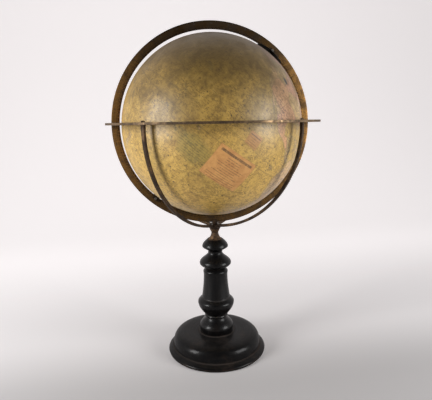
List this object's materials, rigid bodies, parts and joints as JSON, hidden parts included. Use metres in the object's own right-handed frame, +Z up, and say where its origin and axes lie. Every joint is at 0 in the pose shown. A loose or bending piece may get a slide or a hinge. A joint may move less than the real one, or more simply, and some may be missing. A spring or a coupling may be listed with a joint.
{
  "type": "terrestrial globe",
  "caption": "Table globe in a full brass meridian ring and horizon ring, carried by curved arms on an ebonised turned column and round base.",
  "frame": {"origin": "on the floor, under the column's axis, at the bottom centre of the bounding box", "axes": "+Z up along the column, +X in the meridian ring's plane towards the side where the north pole points at rest, -Y towards the viewer of the picture"},
  "size_m": [0.3791, 0.3792, 0.6129],
  "materials": {
    "ebonised_wood": "black stain under satin polish, worn brown at the edges",
    "aged_brass": "brown patina over brass, semi-matt",
    "black_brass": "blackened with age, divided into hours",
    "screw_steel": "turned steel, dulled",
    "iron": "black iron",
    "varnished_map_paper": "printed paper gores on papier-mache, under yellowed varnish",
    "pasteboard": "raw board",
    "pine": "plain turned softwood"
  },
  "bodies": {
    "stand": {"base_plinth": "ebonised_wood", "column_foot": "ebonised_wood", "column_shaft": "ebonised_wood", "column_head": "ebonised_wood", "tie_rod": "iron", "tie_washer": "iron", "tie_nut": "iron", "neck_socket": "aged_brass", "arm_hub": "aged_brass", "arm_front_left": "aged_brass", "arm_front_right": "aged_brass", "arm_back_left": "aged_brass", "arm_back_right": "aged_brass", "arm_screws": "screw_steel", "horizon_ring": "aged_brass", "horizon_nuts": "aged_brass", "meridian_cradle": "aged_brass"},
    "meridian": {"meridian_ring": "aged_brass", "north_pivot_block": "aged_brass", "south_pivot_block": "aged_brass", "north_pivot_pin": "screw_steel", "south_pivot_pin": "screw_steel", "pivot_screws": "screw_steel", "pivot_nuts": "screw_steel"},
    "globe": {"north_hemisphere": "varnished_map_paper", "south_hemisphere": "varnished_map_paper", "seam_band": "pasteboard", "axle_post": "pine", "north_pole_bush": "aged_brass", "south_pole_bush": "aged_brass"},
    "dial": {"hour_dial": "black_brass"}
  },
  "joints": [
    {"name": "latitude_swing", "type": "hinge", "parent": "stand", "child": "meridian", "pos_m": [0, 0, 0.4336], "axis": [0, 1, 0], "range_deg": [-125, 45]},
    {"name": "globe_spin", "type": "hinge", "parent": "meridian", "child": "globe", "pos_m": [0, 0, 0.4336], "axis": [0.6428, 0, 0.766], "continuous": true},
    {"name": "dial_set", "type": "hinge", "parent": "globe", "child": "dial", "pos_m": [0, 0, 0.4336], "axis": [0.6428, 0, 0.766], "continuous": true}
  ]
}
